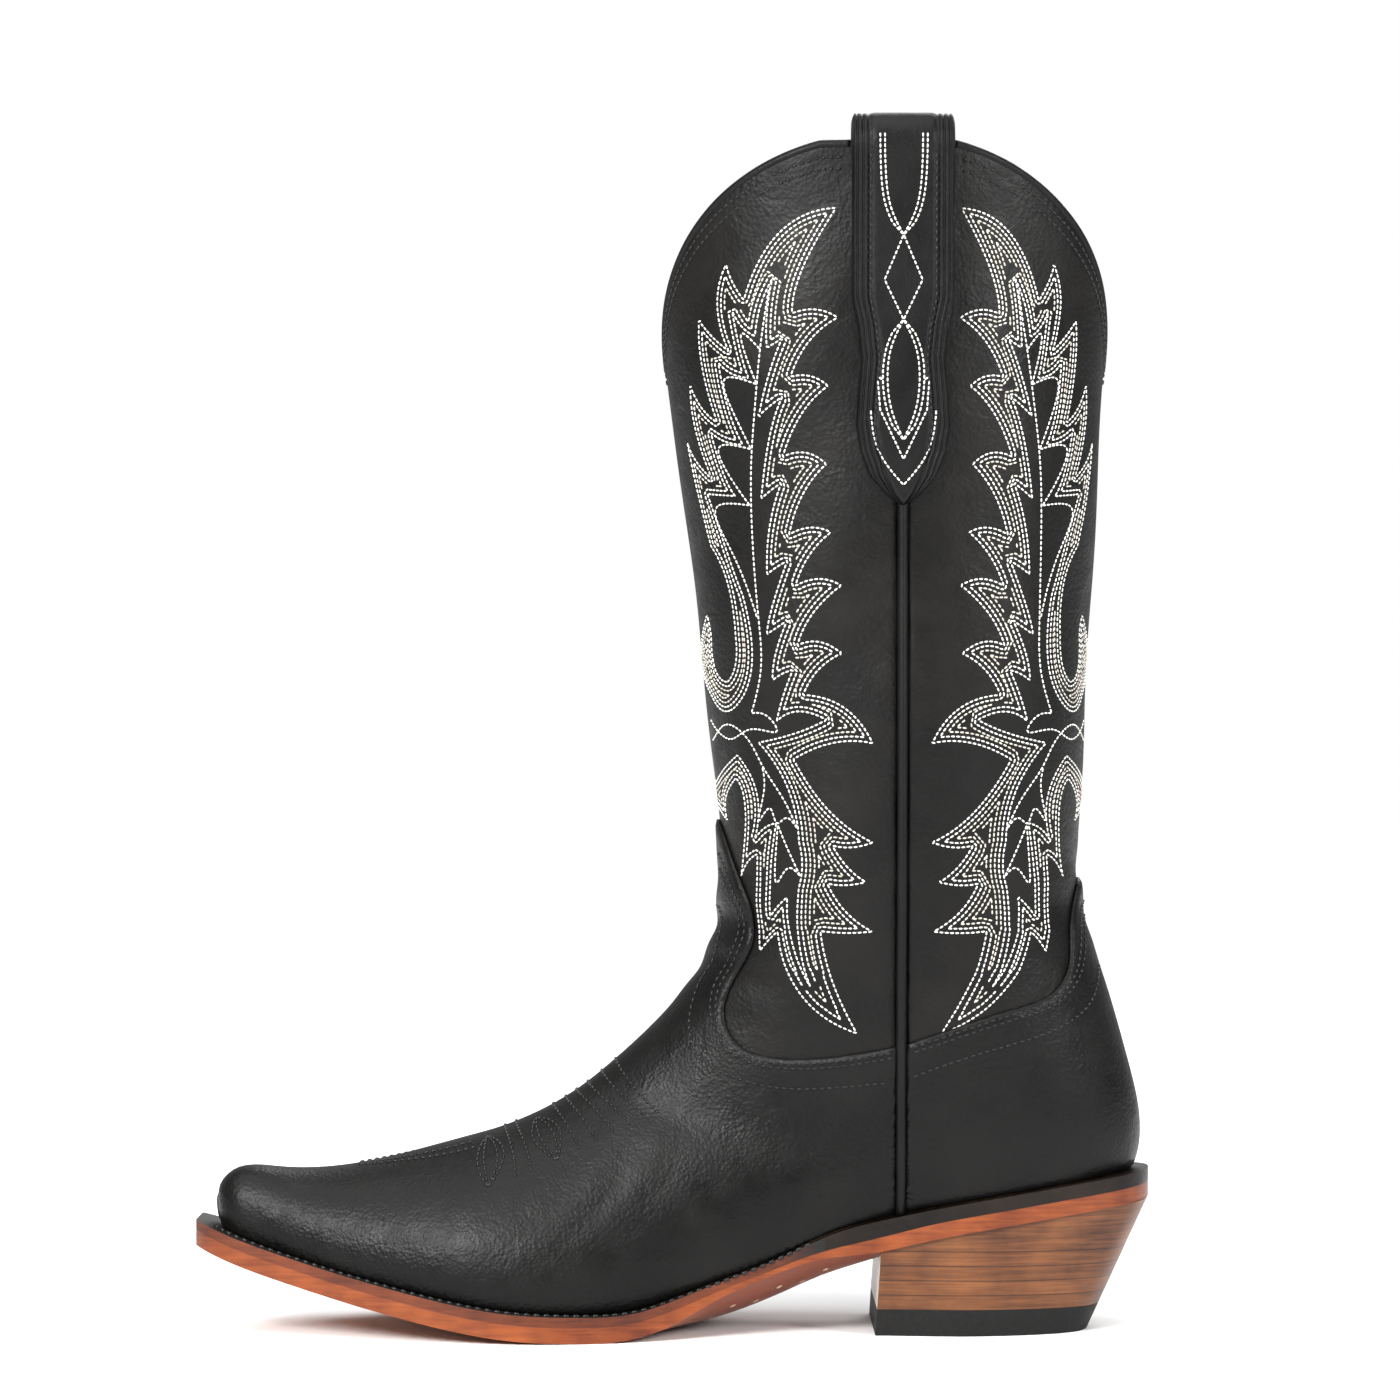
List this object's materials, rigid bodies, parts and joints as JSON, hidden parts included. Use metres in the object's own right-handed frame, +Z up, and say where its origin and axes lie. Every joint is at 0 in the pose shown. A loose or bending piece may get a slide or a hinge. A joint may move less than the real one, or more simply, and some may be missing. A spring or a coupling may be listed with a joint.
{
  "type": "cowboy boot",
  "caption": "Right-foot western riding boot: scalloped stitched shaft, snip toe, welted leather sole with domed shank, stacked underslung heel and pull straps.",
  "frame": {"origin": "middle of the boot's bounding box, on the ground plane the sole and heel stand on", "axes": "+Z up the shaft, -X towards the toe, -Y towards the inner (medial) side of the foot"},
  "size_m": [0.2938, 0.1106, 0.3701],
  "materials": {
    "upper_leather": "smooth black full-grain leather, soft sheen",
    "shaft_leather": "smooth black full-grain leather with rows of pale decorative stitching",
    "trim_leather": "black strap leather, soft sheen",
    "lining_leather": "undyed tan lining leather",
    "stiffener_board": "hardened leather board",
    "welt_leather": "black-dyed welt leather with a brown cut edge",
    "rand_leather": "black-dyed leather",
    "sole_leather": "oak-bark tanned sole leather, burnished orange-brown edge",
    "stack_leather": "stacked heel leather, mottled brown cut edge",
    "insole_leather": "natural insole leather",
    "cap_rubber": "black solid rubber, satin",
    "peg_wood": "pale hardwood pegs",
    "filler_cork": "cork composition",
    "shank_steel": "spring steel",
    "nail_steel": "plain steel"
  },
  "bodies": {
    "root": {"back_shaft_lining": "lining_leather", "back_shaft_panel": "shaft_leather", "back_top_binding": "trim_leather", "cork_filler": "filler_cork", "front_shaft_lining": "lining_leather", "front_shaft_panel": "shaft_leather", "front_top_binding": "trim_leather", "heel_foxing": "upper_leather", "heel_lift_1": "stack_leather", "heel_lift_2": "stack_leather", "heel_lift_3": "stack_leather", "heel_lift_4": "stack_leather", "heel_lift_5": "stack_leather", "heel_lift_6": "stack_leather", "heel_lift_7": "stack_leather", "heel_lining": "lining_leather", "heel_nails": "nail_steel", "heel_rand": "rand_leather", "heel_stiffener": "stiffener_board", "insole_board": "insole_leather", "lateral_pull_strap": "trim_leather", "lateral_side_piping": "trim_leather", "lateral_strap_inlay": "trim_leather", "medial_pull_strap": "trim_leather", "medial_side_piping": "trim_leather", "medial_strap_inlay": "trim_leather", "outsole": "sole_leather", "rubber_top_lift": "cap_rubber", "shank_pegs": "peg_wood", "sock_liner": "lining_leather", "steel_shank": "shank_steel", "toe_puff": "stiffener_board", "vamp": "upper_leather", "vamp_interlining": "lining_leather", "vamp_lining": "lining_leather", "welt": "welt_leather"}
  },
  "joints": []
}
